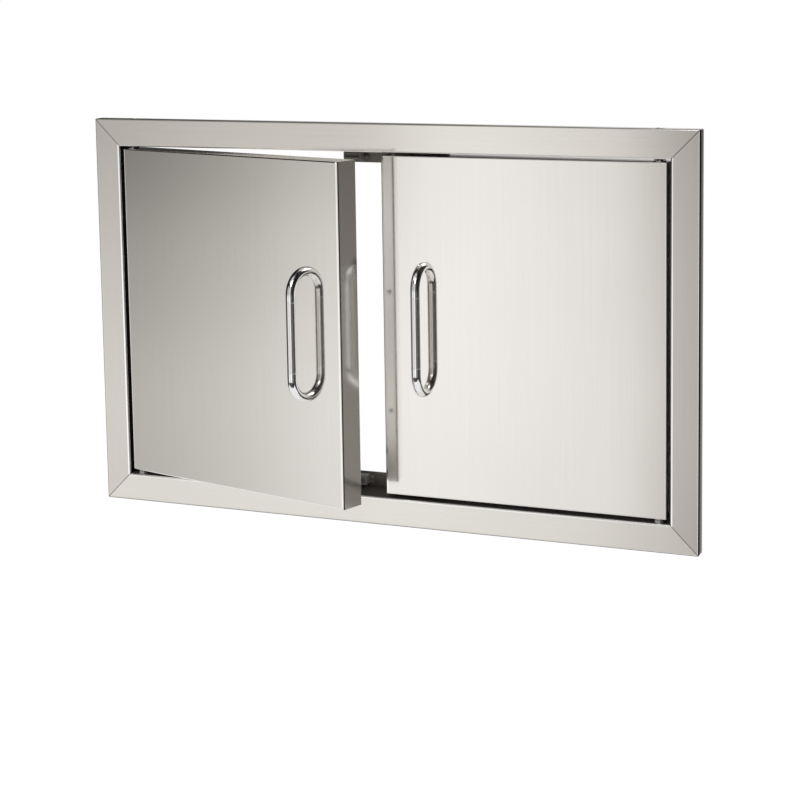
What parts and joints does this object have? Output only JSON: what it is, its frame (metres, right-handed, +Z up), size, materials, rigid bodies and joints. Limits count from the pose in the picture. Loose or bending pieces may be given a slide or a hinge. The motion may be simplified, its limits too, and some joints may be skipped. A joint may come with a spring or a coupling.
{
  "type": "double access door",
  "caption": "Pair of steel pan doors with bow handles on sprung pivot pins in a mitred flange frame, for the front of an outdoor kitchen island.",
  "frame": {"origin": "centre of the frame's opening, on the plane of the island's wall", "axes": "+X to the right as seen from the front, +Y back into the island, +Z up"},
  "size_m": [0.83, 0.1669, 0.52],
  "materials": {
    "frame_steel": "fine satin grain along each rail",
    "inner_steel": "plain mill finish",
    "door_steel": "fine satin grain with a bright sheen",
    "liner_steel": "plain mill finish",
    "handle_satin": "satin turned",
    "handle_chrome": "polished",
    "pivot_steel": "turned",
    "bush_black": "moulded",
    "catch_steel": "zinc plated",
    "catch_plastic": "moulded, fine texture",
    "magnet": "pressed and sintered",
    "spring_steel": "drawn wire",
    "sleeve_rubber": "dipped",
    "fastener_steel": "plain"
  },
  "bodies": {
    "frame": {"frame_top_rail": "frame_steel", "frame_bottom_rail": "frame_steel", "frame_left_stile": "frame_steel", "frame_right_stile": "frame_steel", "corner_gussets": "inner_steel", "top_catch_bracket": "inner_steel", "bottom_catch_bracket": "inner_steel", "catch_bracket_rivets": "fastener_steel", "catch_screws": "fastener_steel", "upper_left_catch_case": "catch_plastic", "upper_right_catch_case": "catch_plastic", "lower_left_catch_case": "catch_plastic", "lower_right_catch_case": "catch_plastic", "lower_pivot_studs": "pivot_steel", "pivot_spacers": "pivot_steel", "upper_frame_bushes": "bush_black", "catch_magnets": "magnet", "catch_pole_plates": "catch_steel"},
    "left_door": {"left_door_pan": "door_steel", "left_door_liner": "liner_steel", "left_liner_screws": "fastener_steel", "left_strike_rivets": "fastener_steel", "left_handle_screws": "fastener_steel", "left_strikes": "catch_steel", "left_handle_tube": "handle_satin", "left_handle_elbows": "handle_chrome", "left_handle_backing": "inner_steel", "left_pin_guide_bracket": "inner_steel", "left_lower_pivot_plate": "inner_steel", "left_pin_guide_bush": "pivot_steel", "left_lower_door_bush": "pivot_steel", "left_pin_spring": "spring_steel"},
    "left_pin": {"left_hinge_pin": "pivot_steel", "left_pin_collar": "pivot_steel", "left_pin_lever_sleeve": "sleeve_rubber"},
    "right_door": {"right_door_pan": "door_steel", "right_door_liner": "liner_steel", "right_liner_screws": "fastener_steel", "right_strike_rivets": "fastener_steel", "right_handle_screws": "fastener_steel", "right_strikes": "catch_steel", "right_handle_tube": "handle_satin", "right_handle_elbows": "handle_chrome", "right_handle_backing": "inner_steel", "right_pin_guide_bracket": "inner_steel", "right_lower_pivot_plate": "inner_steel", "right_pin_guide_bush": "pivot_steel", "right_lower_door_bush": "pivot_steel", "right_pin_spring": "spring_steel"},
    "right_pin": {"right_hinge_pin": "pivot_steel", "right_pin_collar": "pivot_steel", "right_pin_lever_sleeve": "sleeve_rubber"}
  },
  "joints": [
    {"name": "left_door_hinge", "type": "hinge", "parent": "frame", "child": "left_door", "pos_m": [-0.3628, -0.0063, 0], "axis": [0, 0, -1], "range_deg": [-15, 95]},
    {"name": "right_door_hinge", "type": "hinge", "parent": "frame", "child": "right_door", "pos_m": [0.3628, -0.0063, 0], "axis": [0, 0, 1], "range_deg": [0, 110]},
    {"name": "left_pin_slide", "type": "slide", "parent": "left_door", "child": "left_pin", "axis": [0, 0, -1], "range_m": [0, 0.0095], "stiffness_N_per_m": 400, "springref_m": -0.012, "deforming": ["left_pin_spring"]},
    {"name": "right_pin_slide", "type": "slide", "parent": "right_door", "child": "right_pin", "axis": [0, 0, -1], "range_m": [0, 0.0095], "stiffness_N_per_m": 400, "springref_m": -0.012, "deforming": ["right_pin_spring"]}
  ]
}
